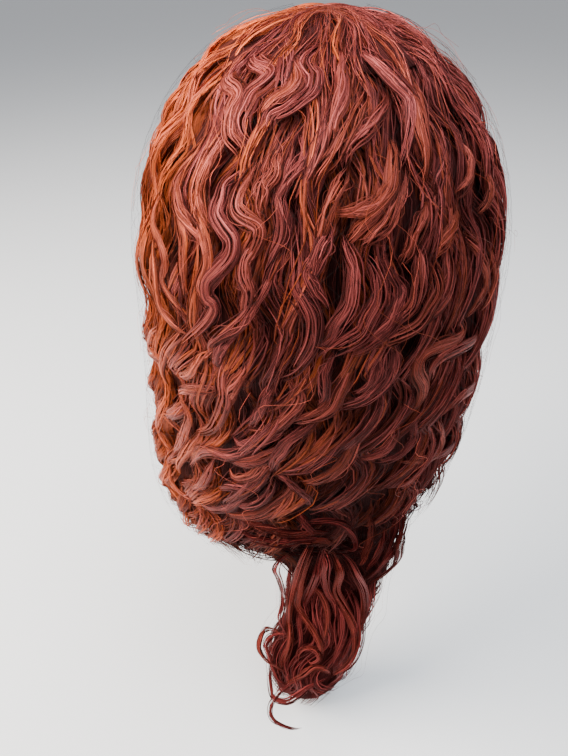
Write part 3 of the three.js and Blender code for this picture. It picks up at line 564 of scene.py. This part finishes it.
# The locks on top lie in their own order, as they dried in their curls. Each row gives one lock of the
# upper hair: half its width in millimetres, then the places that it passes, as azimuth in degrees and
# path in thousandths.
upper_locks = (
    (4.6, (50, 92), (46, 124), (44, 146), (39, 162), (32, 170), (28, 178), (29, 192), (32, 206), (32, 222),
     (32, 236), (30, 248), (26, 256)),
    (3.6, (58, 142), (54, 162), (50, 182), (46, 196), (40, 204), (37, 212), (37, 226), (36, 242),
     (34, 256), (30, 264), (28, 272)),
    (4.2, (8, 98), (12, 116), (16, 136), (16, 154), (12, 170), (10, 178), (10, 196), (14, 210), (18, 220),
     (22, 226), (23, 238), (22, 250)),
    (3.4, (24, 104), (23, 136), (19, 160), (16, 182), (18, 196), (22, 206), (25, 218), (26, 228)),
    (2.6, (44, 90), (29, 130), (24, 162), (22, 188), (21, 206)),
    (2.4, (6, 180), (5, 204), (5, 234), (6, 260), (8, 278), (10, 292), (12, 308)),
    (3.0, (0, 106), (0, 158), (0, 200), (2, 232), (3, 258)),
    (2.8, (-12, 176), (-10, 200), (-6, 222), (-2, 244), (2, 264), (6, 280), (8, 296)),
    (2.4, (-22, 188), (-16, 212), (-10, 234), (-6, 248), (-2, 262), (-1, 276)),
    (3.6, (-6, 98), (-13, 124), (-18, 144), (-22, 170), (-24, 192), (-26, 212), (-24, 232), (-20, 256),
     (-17, 278)),
    (2.8, (-42, 132), (-33, 174), (-30, 212), (-27, 244), (-26, 274), (-24, 294)),
    (2.6, (-2, 268), (0, 288), (2, 310), (4, 330), (5, 350)),
    (2.6, (-12, 286), (-11, 298), (-10, 308), (-6, 314), (-2, 316), (2, 314)),
    (3.4, (-17, 242), (-16, 262), (-14, 286), (-12, 302), (-8, 318), (-5, 330), (-2, 344)),
    (2.8, (-20, 274), (-18, 296), (-15, 314), (-12, 328), (-8, 338), (-5, 348)),
    (3.2, (33, 236), (36, 252), (38, 270), (39, 286), (40, 308), (39, 328), (36, 344), (33, 356)),
    (3.6, (26, 264), (28, 282), (32, 300), (32, 316), (32, 332), (29, 342), (26, 352), (26, 368),
     (29, 384), (32, 400), (32, 416), (30, 424), (33, 444), (38, 466), (44, 490)),
    (3.4, (24, 256), (24, 276), (25, 294), (26, 308), (26, 320), (24, 328), (20, 336), (20, 348),
     (22, 364), (24, 382)),
    (3.0, (18, 256), (18, 270), (18, 286), (20, 298), (20, 310), (20, 322), (18, 334)),
    (2.6, (14, 250), (14, 272), (14, 290), (15, 308), (14, 324), (14, 342), (16, 358), (18, 376)),
    (2.6, (12, 236), (10, 258), (11, 274), (13, 290), (14, 304)),
    (2.4, (60, 390), (55, 416), (52, 434), (50, 454), (45, 466), (40, 472)),
    (2.4, (58, 336), (59, 360), (56, 378), (50, 386), (47, 402), (48, 424), (44, 440), (40, 452)),
    (2.4, (48, 334), (45, 350), (41, 366), (40, 386), (40, 410), (41, 432)),
    (2.6, (40, 314), (40, 334), (36, 350), (33, 366), (32, 384), (34, 408), (32, 426), (33, 446)),
    (2.4, (49, 296), (49, 318), (45, 338), (40, 350), (36, 360), (34, 376)),
    (3.0, (18, 336), (20, 352), (22, 368), (22, 384), (21, 398), (22, 414), (23, 428)),
    (2.6, (16, 372), (17, 392), (20, 416), (23, 432), (28, 448), (32, 466), (32, 482)),
    (3.6, (13, 304), (11, 328), (10, 352), (10, 372), (10, 386), (8, 400), (6, 416), (6, 438), (8, 458),
     (10, 474), (14, 486)),
    (2.6, (4, 312), (5, 332), (6, 352), (8, 370), (6, 384), (4, 394), (2, 408)),
    (2.8, (2, 318), (3, 336), (4, 352), (6, 370), (8, 388)),
    (3.6, (0, 334), (-2, 350), (-4, 366), (-4, 384), (-3, 402), (0, 420), (2, 434), (6, 448)),
    (3.6, (-4, 350), (-8, 364), (-10, 382), (-10, 400), (-8, 416), (-6, 430), (-2, 440), (2, 450),
     (4, 460)),
    (3.2, (-13, 376), (-16, 392), (-15, 408), (-13, 422), (-10, 432), (-6, 444), (-2, 454)),
    (3.4, (-24, 360), (-26, 380), (-26, 400), (-23, 414), (-20, 428), (-15, 436), (-10, 442), (-7, 448)),
    (2.8, (-18, 340), (-21, 358), (-21, 376), (-20, 394), (-18, 410), (-14, 422), (-12, 432)),
)

def lay_on_body(rng, row, height):
    azimuth, path = through(row, (1, 1000)).T
    # The lock takes the painted light and shade of its place.
    copper_and_glow, shade = copper_and_glow_share(azimuth, path)[None], painted_light_at(azimuth, path)[None]
    return lay(rng, envelope(azimuth, path), directions(azimuth, path)[1], row[0], height, copper_and_glow, 1, shade)


rng = np.random.default_rng(8)
laid = [batch for row in upper_locks for batch in lay_on_body(rng, row, 0.2)]
upper_laid_locks = join_tubes("upper_laid_locks", laid, auburn)
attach(upper_laid_locks, "root")


# The lower hair has its own top locks, which sweep across the back to one side and curl at their ends.
lower_locks = (
    (3.0, (-30, 348), (-30, 372), (-30, 394), (-28, 414), (-24, 428), (-20, 438)),
    (2.8, (-36, 314), (-34, 334), (-31, 348), (-28, 360), (-25, 372)),
    (3.0, (-38, 358), (-43, 380), (-46, 404), (-46, 426), (-43, 440), (-41, 456)),
    (2.8, (-50, 380), (-53, 408), (-54, 430), (-52, 450), (-50, 466)),
    (3.4, (-34, 434), (-40, 464), (-37, 472), (-30, 468), (-24, 468), (-23, 484), (-26, 512), (-26, 538),
     (-23, 560)),
    (2.8, (-54, 494), (-49, 498), (-38, 482), (-30, 478), (-28, 488), (-30, 516)),
    (3.0, (-62, 546), (-62, 578), (-62, 610), (-48, 580), (-41, 578), (-38, 596)),
    (3.4, (-14, 440), (-16, 460), (-15, 480), (-12, 496), (-8, 508), (-4, 516), (-1, 526)),
    (3.0, (-12, 442), (-12, 460), (-11, 478), (-8, 494), (-5, 506)),
    (3.2, (-4, 452), (-4, 474), (-2, 498), (0, 518), (4, 532), (8, 542), (10, 552)),
    (2.6, (0, 450), (2, 464), (3, 480), (2, 502), (3, 524)),
    (3.4, (12, 480), (10, 490), (8, 508), (10, 534), (13, 556), (17, 572), (22, 582)),
    (2.4, (14, 484), (16, 504), (17, 526), (19, 552), (22, 574)),
    (3.2, (-9, 542), (-8, 578), (-6, 610), (-2, 634), (3, 652), (6, 662)),
    (3.0, (-4, 536), (-4, 572), (0, 600), (4, 618), (8, 634), (13, 648)),
    (3.0, (2, 532), (6, 554), (10, 576), (12, 600), (14, 624), (15, 650)),
    (2.8, (-18, 544), (-19, 578), (-17, 598), (-14, 610), (-10, 618)),
    (2.8, (-26, 560), (-27, 600), (-24, 616), (-19, 624), (-14, 626)),
    (2.8, (-38, 598), (-42, 648), (-40, 670), (-32, 656), (-24, 642)),
    (2.6, (-50, 610), (-60, 686), (-60, 726), (-46, 694), (-38, 684)),
    (2.6, (30, 528), (35, 536), (41, 552), (49, 586)),
    (3.0, (50, 574), (46, 586), (42, 604), (44, 636), (48, 680), (54, 726)),
    (3.4, (26, 458), (28, 482), (29, 512), (28, 536), (30, 570), (34, 604), (41, 634)),
    (2.8, (22, 474), (24, 498), (26, 522), (28, 550)),
    (3.0, (10, 546), (13, 570), (18, 588), (23, 604), (27, 606)),
    (3.2, (13, 566), (18, 594), (23, 618), (28, 636), (34, 644), (39, 674), (44, 720)),
    (3.0, (9, 572), (14, 598), (19, 626), (24, 642), (29, 646)),
    (3.0, (10, 614), (16, 632), (20, 658), (25, 674), (28, 672)),
    (3.0, (14, 634), (17, 664), (21, 688), (27, 702), (31, 728)),
    (2.6, (32, 654), (34, 692), (38, 738), (44, 784)),
    (3.2, (6, 646), (8, 688), (12, 724), (16, 750), (23, 772), (30, 780)),
    (2.8, (14, 660), (14, 690), (17, 718), (22, 738), (27, 746)),
    (2.8, (20, 676), (22, 712), (26, 748), (32, 778), (39, 796)),
    (2.4, (14, 656), (10, 656), (6, 668), (3, 690), (2, 718)),
    (2.6, (60, 628), (64, 670), (64, 704), (60, 716), (54, 726)),
    (2.6, (58, 732), (56, 766), (54, 790), (49, 798), (42, 800)),
    (2.4, (56, 494), (67, 542), (74, 588), (60, 556), (53, 556)),
    (2.6, (40, 458), (45, 486), (52, 526), (56, 566), (56, 596)),
    (2.6, (32, 472), (36, 496), (40, 524), (48, 552)),
    (2.6, (38, 618), (42, 662), (47, 710), (51, 762)),
    (2.6, (24, 440), (27, 458), (30, 476), (32, 498)),
    (2.4, (-53, 290), (-54, 314), (-52, 336), (-46, 348)),
    (2.4, (-46, 262), (-46, 284), (-42, 306), (-36, 320)),
    (2.4, (-38, 232), (-37, 258), (-33, 280), (-29, 300), (-30, 322)),
    (2.6, (-27, 312), (-24, 326), (-20, 342), (-18, 356), (-16, 370)),
)
rng = np.random.default_rng(9)
laid = [batch for row in lower_locks for batch in lay_on_body(rng, row, -1.2)]
lower_laid_locks = join_tubes("lower_laid_locks", laid, auburn)
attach(lower_laid_locks, "root")


# Under the locks the hair is gathered: it sweeps inward from all round and narrows to the top of the tail.
# Each row gives one of its locks: half its width, then the places that it passes, in millimetres.
gathered_paths = (
    (2.4, (51, 93, -207), (42, 97, -204), (36, 99, -204), (27, 101, -205), (20, 102, -207),
     (13, 102, -208), (4, 104, -204), (-6, 102, -210)),
    (2.4, (49, 92, -219), (41, 94, -223), (32, 96, -223), (22, 99, -220), (12, 101, -214),
     (3, 102, -213), (-6, 99, -222)),
    (1.6, (17, 101, -213), (12, 103, -204), (8, 105, -196), (3, 106, -193), (-4, 105, -193),
     (-11, 103, -198), (-16, 100, -208), (-20, 96, -222), (-20, 98, -227), (-17, 97, -231),
     (-14, 93, -237)),
    (2.2, (13, 99, -225), (10, 101, -217), (3, 101, -214), (-3, 100, -217), (-9, 96, -230)),
    (2.4, (-43, 94, -187), (-47, 85, -216), (-47, 86, -234), (-41, 96, -235), (-39, 89, -260),
     (-37, 77, -293)),
    (2.2, (-39, 89, -219), (-37, 91, -233), (-36, 85, -255), (-31, 91, -263)),
    (2.6, (-48, 90, -190), (-51, 85, -219), (-46, 96, -224), (-51, 83, -259), (-49, 74, -286),
     (-41, 72, -306)),
    (2.2, (-26, 100, -195), (-29, 93, -220), (-28, 93, -237), (-26, 99, -245)),
    (2.0, (13, 106, -185), (11, 106, -190), (7, 104, -201), (-1, 102, -210)),
    (3.2, (-43, 88, -192), (-46, 84, -214), (-46, 85, -234), (-45, 82, -258), (-43, 74, -284),
     (-37, 70, -304)),
)
under = hair_fibre("hair_shadow", (0.024, 0.003, 0.0028), (0.078, 0.0095, 0.009), (0.28, 0.047, 0.042),
                   (0.4, 0.08, 0.02), 0.02)
tail_neck, tail_length, tail_half_width, tail_half_depth = 322, 182, 42, 31
tail_drop = (0.0, 0.12, 0.35, 0.6, 0.8, 0.93, 1.0)
tail_width = (1.0, 0.9, 0.9, 0.97, 0.88, 0.62, 0.26)
tail_depth = (0.95, 0.92, 1.0, 1.0, 0.92, 0.68, 0.3)
tail_shift_x = (-0.46, -0.44, -0.3, -0.12, 0.0, 0.06, 0.12)
tail_shift_y = (1.25, 1.4, 1.6, 1.65, 1.65, 1.65, 1.7)
bundle_heart = np.array([dome_width * 0.06, dome_back * 0.2, 0])
heart_z = (-504, -413, -358, -322, -260, -200)
heart_x = (5, -2, -12, -19, 0, 5)
heart_y = (53, 51, 50, 39, 25, 15)


def tail_ring(share, angle, size):
    # A place on the tail, at a share of its length and an angle round it.
    x = between(tail_drop, tail_shift_x, share) + size * between(tail_drop, tail_width, share) * np.sin(angle)
    y = between(tail_drop, tail_shift_y, share) + size * between(tail_drop, tail_depth, share) * np.cos(angle)
    return np.stack([tail_half_width * x, tail_half_depth * y, -tail_neck - tail_length * share], -1)


def gather_ring(share, azimuth, size):
    # A place on the gathered hair, at a share of the way from the bundle's edge to the tail.
    reach = between(reach_azimuth, reach_share, azimuth) - 0.06
    rim = envelope(azimuth, reach) - directions(azimuth, reach)[1] * 7
    neck = tail_ring(np.zeros(share.shape), np.radians(azimuth), 1)
    ease = (share * share * (3 - 2 * share))[..., None]
    heart = tail_ring(np.zeros(share.shape), 0, 0)
    ring = rim * (1 - ease) + neck * ease
    middle = bundle_heart * (1 - ease) + heart * ease
    ring[..., 2] = middle[..., 2] = rim[..., 2] + (neck[..., 2] - rim[..., 2]) * share
    return middle + (ring - middle) * size[..., None]


def gathered(rng, total, rows, width, thick, size, loose):
    t = np.linspace(0, 1, rows)[None]
    start, scatter = 360 * rng.random((total, 1)) - 180, rng.random((total, 1))
    lock = np.floor(start / 12)
    azimuth = start + 16 * np.sin(lock * 2.1) * t + 5 * loose * np.sin(7 * t + 40 * scatter)
    phase = 2 * np.pi * 1.7 * t + 1.5 * np.sin(lock * 3.3) + 0.6 * scatter
    stand = size[0] + (size[1] - size[0]) * rng.random((total, 1))
    stand = stand - 0.05 * (1 + np.cos(phase)) - 0.06 * (1 + np.sin(lock * 1.7))
    share = t + 0 * azimuth
    line = gather_ring(share, azimuth + 6 * np.sin(phase) * np.sin(math.pi * t), stand)
    outward = unit(line - gather_ring(share, azimuth, 0 * stand))
    wide = width * (0.6 + 0.8 * rng.random((total, 1)))
    wide = wide * np.minimum(1, 0.3 + 5 * t) * np.minimum(1, 0.3 + 5 * (1 - t))
    # Painted shade: the inner wisps, and their parts near the bundle's edge, are darker.
    light = 0.07 + 0.25 * ramp(stand, 0.7, 0.3) * np.clip(0.3 + 0.9 * t, 0, 1)
    return tubes(line, outward, wide, wide * thick, 3, rng.random(total), 0 * stand, light)


def lay_in_space(rng, row, loose, shade):
    # The lock faces away from the heart of the hair, and a little to the back.
    middle = through(row)
    z = middle[:, 2]
    heart = np.stack([np.interp(z, heart_z, heart_x), np.interp(z, heart_z, heart_y), z - 8], -1)
    out = unit(unit(middle - heart) + np.array([0, 0.6, 0.3]))
    return lay(rng, middle, out, row[0], 0.4, np.zeros((1, len(middle))), loose, shade)


# A core, painted dark as shade, fills the gathered hair, so that no light shows through it. It has a dished
# top.
turns = np.arange(-180, 180, 10.0)
core_size, core_shares = np.full(len(turns), 0.9), np.linspace(0, 1, 7)
core_rings = [gather_ring(np.full(len(turns), share), turns, core_size) for share in core_shares]
core_top = core_rings[0] * 0.6 + core_rings[0].mean(axis=0) * 0.4 + np.array([0, 0, 12.0])
core_points = np.concatenate([core_top] + core_rings)
at = np.arange(len(core_points)).reshape(-1, len(turns))
upper, lower = at[:-1], at[1:]
core_quads = np.stack([lower, np.roll(lower, -1, axis=1), np.roll(upper, -1, axis=1), upper], -1)
core = {"points": core_points, "quads": core_quads.reshape(-1, 4), "tent": False,
        "caps": np.stack([at[0], at[-1][::-1]]),
        "uv": np.stack([np.tile(turns * 0.6, len(at)), -core_points[:, 2]], -1),
        "tint": np.tile(np.array([0.4, 0, 0.1, 1]), (len(core_points), 1))}
rng = np.random.default_rng(21)
gather_batches = [core, gathered(rng, 80, 20, 2.0, 0.3, (0.9, 0.97), 0.6),
                  gathered(rng, 260, 22, 0.6, 0.55, (0.92, 1.02), 1.4),
                  gathered(rng, 60, 22, 0.2, 1, (0.94, 1.06), 2)]
# The laid locks of the gathered hair are painted darker, as shade under the bundle.
gather_batches += [batch for row in gathered_paths for batch in lay_in_space(rng, row, 1, 0.54)]
gathered_locks = join_tubes("gathered_locks", gather_batches, under)
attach(gathered_locks, "root")
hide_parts("gathered_hair")


# The tail hangs free below the gathered hair, in long waves. Its top locks curl at their ends, some of them
# stand off its side in open rings, and one thin lock curls away below.
tail_paths = (
    (2.6, (4, 100, -220), (9, 98, -238), (14, 70, -307), (17, 68, -337), (17, 62, -368), (16, 67, -377),
     (17, 71, -394), (22, 72, -415), (29, 77, -425)),
    (3.0, (1, 99, -225), (5, 89, -257), (9, 74, -302), (11, 65, -337), (8, 65, -350), (2, 71, -357),
     (-4, 76, -367), (-8, 80, -380), (-7, 81, -398)),
    (2.2, (6, 67, -351), (6, 64, -337), (0, 65, -323), (-5, 66, -322), (-10, 69, -333), (-12, 72, -347),
     (-11, 76, -361), (-8, 79, -376)),
    (2.6, (-1, 99, -225), (-4, 107, -228), (-4, 99, -254), (-9, 76, -307), (-16, 70, -333),
     (-18, 73, -348)),
    (3.0, (-7, 96, -231), (-11, 96, -241), (-14, 100, -250), (-16, 78, -302), (-23, 70, -333),
     (-29, 72, -349), (-33, 74, -368), (-33, 79, -382), (-28, 82, -398), (-19, 84, -413)),
    (3.0, (-12, 92, -242), (-20, 92, -250), (-26, 91, -266), (-36, 73, -310), (-40, 66, -340),
     (-39, 69, -357), (-39, 75, -372), (-35, 82, -386), (-29, 85, -399), (-20, 87, -409)),
    (2.4, (-21, 69, -311), (-29, 68, -326), (-34, 69, -341), (-34, 72, -359), (-30, 76, -375),
     (-26, 79, -393), (-19, 81, -412)),
    (2.6, (-15, 69, -327), (-23, 72, -343), (-25, 75, -360), (-23, 78, -377), (-19, 81, -393),
     (-14, 85, -405)),
    (2.4, (-4, 98, -225), (-1, 97, -244), (1, 98, -257), (4, 65, -334), (9, 67, -357), (8, 73, -375),
     (10, 76, -394)),
    (3.0, (-19, 81, -421), (-12, 82, -407), (-3, 81, -403), (4, 81, -414), (11, 79, -429),
     (20, 80, -440)),
    (3.4, (-17, 81, -426), (-8, 82, -431), (2, 82, -438), (10, 83, -448), (19, 83, -458),
     (29, 78, -464), (32, 71, -464), (34, 63, -458), (34, 63, -443)),
    (2.0, (11, 78, -408), (10, 76, -395), (5, 77, -383), (-3, 79, -380), (-7, 81, -390), (-1, 81, -399),
     (5, 79, -397)),
    (1.8, (16, 98, -237), (21, 97, -239), (25, 102, -242), (23, 89, -272), (21, 70, -319),
     (22, 71, -336), (24, 71, -350), (21, 66, -377), (16, 71, -388)),
    (2.3, (22, 65, -391), (29, 58, -391), (36, 58, -389), (40, 65, -390), (40, 70, -398),
     (34, 74, -408), (26, 74, -419), (18, 76, -428)),
    (2.2, (17, 69, -386), (24, 61, -392), (31, 58, -399), (36, 61, -406), (33, 65, -418),
     (30, 68, -432), (26, 73, -443), (19, 77, -449)),
    (1.9, (10, 80, -428), (18, 82, -436), (26, 85, -442), (31, 90, -446), (32, 95, -451),
     (29, 99, -455), (22, 101, -460), (13, 102, -466), (5, 102, -469)),
)


def tail_lines(rng, total, rows, width, thick, size, lengths, loose):
    # Wisps down the tail, in locks that start a little above its neck and part at their tips.
    around, tail_wave, above = 14, 78, 0.04
    t = np.linspace(0, 1, rows)[None]
    lock = rng.integers(0, around, total)
    angle = (2 * np.pi * (lock + 0.95 * rng.random(total)) / around)[:, None]
    ends = (lengths[0] + (lengths[1] - lengths[0]) * rng.random(total))[:, None]
    share = -above + (ends + above) * t
    scatter = rng.random(total)[:, None]
    lock = lock[:, None]
    phase = 2 * np.pi * share * tail_length / tail_wave + 1.6 * np.sin(lock * 2.2) + 0.35 * loose * scatter
    tip = np.clip((t - 0.8) / 0.2, 0, 1) ** 1.5
    stand = size[0] + (size[1] - size[0]) * rng.random(total)[:, None]
    turn = angle + 0.15 * np.sin(phase) + 0.25 * np.sin(lock + 2 * share)
    turn = turn + tip * 0.6 * np.sin(lock * 1.7 + 1)
    turn = turn + 0.02 * loose * np.sin(16 * t + 60 * scatter)
    stand = stand - 0.07 * (1 + np.cos(phase)) + tip * 0.12 * np.sin(scatter * 30)
    line = tail_ring(np.clip(share, -above, 1.0), turn, stand)
    line[..., 2] += 10 * tip * np.clip(np.sin(lock * 3.3 + 6 * scatter), -0.3, 1)
    outward = line - tail_ring(np.clip(share, 0, 1), turn, 0)
    outward[..., 2] = 0
    outward = unit(outward + 1e-6)
    wide = width * (0.6 + 0.8 * rng.random(total))[:, None] * np.minimum(1, 0.3 + 6 * t)
    wide = wide * np.clip((1 - t) * 6 + 0.06, 0, 1) ** 0.7
    # Painted shade: the inner wisps of the tail are darker.
    light = 0.22 + 0.8 * ramp(stand, 0.6, 0.4)
    return tubes(line, outward, wide, wide * thick, 3, rng.random(total), 0 * light, light)


rng = np.random.default_rng(31)
# A core fills the tail, its colour painted dark as shade.
core_share = np.linspace(0, 0.96, 14)
core_line = tail_ring(core_share, 0, 0)[None]
core_wide = (tail_half_width * between(tail_drop, tail_width, core_share) * 0.84)[None]
core_deep = (tail_half_depth * between(tail_drop, tail_depth, core_share) * 0.8)[None]
backward = np.zeros(core_line.shape) + np.array([0, 1.0, 0])
unlit = 0 * core_wide
tail = [tubes(core_line, backward, core_wide, core_deep, 24, np.array([0.4]), unlit, unlit + 0.2),
        tail_lines(rng, 50, 24, 2.0, 0.3, (0.74, 0.86), (0.8, 0.97), 0.6),
        tail_lines(rng, 250, 28, 0.52, 0.6, (0.82, 0.98), (0.75, 1.0), 1.3),
        tail_lines(rng, 50, 28, 0.2, 1, (0.85, 1.02), (0.7, 1.02), 2)]
tail += [batch for row in tail_paths for batch in lay_in_space(rng, row, 0.7, 1.04)]
tail_locks = join_tubes("tail_locks", tail, under)
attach(tail_locks, "root")
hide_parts("tail_hair")


# The bundle is held in a fine dark net. Its threads cross in diamonds and lie over the hair, from the crown
# down to the lower edge.
def net_thread():
    material = bpy.data.materials.new("net_thread")
    material.use_nodes = True
    shader = material.node_tree.nodes["Principled BSDF"]
    shader.inputs["Base Color"].default_value = (0.012, 0.008, 0.007, 1)
    shader.inputs["Roughness"].default_value = 0.7
    shader.inputs["Specular IOR Level"].default_value = 0.1
    return material


mesh_turn, mesh_drop, thread_rows, thread_radius = 7.5, 0.028, 40, 0.045
first_turn = np.repeat(np.arange(-face_edge, face_edge, mesh_turn), 2)[:, None]
lean_way = np.where(np.arange(len(first_turn)) % 2 == 0, 1, -1)[:, None]
thread_start = np.where(np.arange(len(first_turn)) % 4 < 2, 0.05, 0.17)[:, None]
thread_path = thread_start + (0.9 - thread_start) * np.linspace(0, 1, thread_rows)[None]
straight = first_turn + lean_way * mesh_turn / mesh_drop * thread_path
thread_turn = face_edge - np.abs((straight + face_edge) % (4 * face_edge) - 2 * face_edge)
thread_out = directions(thread_turn, thread_path)[1]
thread_line = envelope(thread_turn, thread_path) + 0.6 * thread_out
thin = np.full(thread_path.shape, thread_radius)
threads = tubes(thread_line, thread_out, thin, thin, 3, np.zeros(len(thin)), 0 * thin, 0 * thin)
hair_net = join_tubes("hair_net", [threads], net_thread())
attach(hair_net, "root")


# Single hairs stray from the locks everywhere. They stand off the hair in flat loops and follow no curl.
def stray(rng, total, rows, lift):
    t = np.linspace(0, 1, rows)[None]
    start_turn, start_path = 260 * rng.random((total, 1)) - 130, 0.06 + 0.7 * rng.random((total, 1))
    way, long = 2 * np.pi * rng.random((total, 1)), 0.05 + 0.09 * rng.random((total, 1))
    azimuth = start_turn + 150 * long * t * np.sin(way) + 3 * np.sin(9 * t + way)
    path = start_path + long * t * (0.4 + np.abs(np.cos(way))) + 0.006 * np.sin(7 * t + 3 * way)
    out = directions(azimuth, path)[1]
    arc = np.sin(np.pi * np.minimum(1.25 * t, 1 - 0.3 * t)) ** 0.8
    rise = -1.5 + (1.5 + lift * rng.random((total, 1)) ** 1.6) * arc
    line = envelope(azimuth, path) + out * rise[..., None]
    thin = 0.06 + 0.04 * rng.random((total, 1)) * np.ones(t.shape)
    copper_and_glow = np.clip(copper_and_glow_share(azimuth, path) + 0.3, 0, 1)
    return tubes(line, out, thin, thin, 3, rng.random(total), copper_and_glow, np.full(azimuth.shape, 1.1))


rng = np.random.default_rng(40)
strays = [stray(rng, 120, 14, 6.0), tail_lines(rng, 26, 18, 0.09, 1, (1.02, 1.22), (0.6, 1.02), 3)]
stray_hairs = join_tubes("stray_hairs", strays, auburn)
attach(stray_hairs, "root")


# The floor under the tail's lowest point is plain and pale.
floor_side, floor_gap = 40, 0.0005
bpy.ops.mesh.primitive_plane_add(size=floor_side, location=(0, 0, cad_box[0][2] - floor_gap))
floor = bpy.context.object
floor.name = "floor"
floor_paint = bpy.data.materials.new("floor_paint")
floor_paint.use_nodes = True
paint = floor_paint.node_tree.nodes["Principled BSDF"]
paint.inputs["Base Color"].default_value = (0.98, 0.975, 0.96, 1)
paint.inputs["Roughness"].default_value = 0.7
floor.data.materials.append(floor_paint)


# A large soft window stands to the left, a wide soft sky is above, and the world gives a weak fill.
def window(name, place, aim, size, power, colour):
    bpy.ops.object.light_add(type="AREA", location=place)
    lamp = bpy.context.object
    lamp.name = name
    lamp.data.shape = "RECTANGLE"
    lamp.data.size, lamp.data.size_y = size
    lamp.data.energy = power
    lamp.data.color = colour
    lamp.rotation_euler = (Vector(aim) - Vector(place)).to_track_quat("-Z", "Y").to_euler()


window("left_window", (1.1, 0.25, 0.75), (0.0, 0.0, -0.15), (0.9, 0.9), 60, (1.0, 0.93, 0.86))
window("sky_window", (-0.25, 0.35, 1.4), (0.0, 0.0, -0.1), (1.4, 1.0), 44, (0.84, 0.91, 1.0))
world = bpy.data.worlds.new("room")
bpy.context.scene.world = world
world.use_nodes = True
world.node_tree.nodes["Background"].inputs["Color"].default_value = (0.9, 0.93, 1.0, 1)
world.node_tree.nodes["Background"].inputs["Strength"].default_value = 0.46
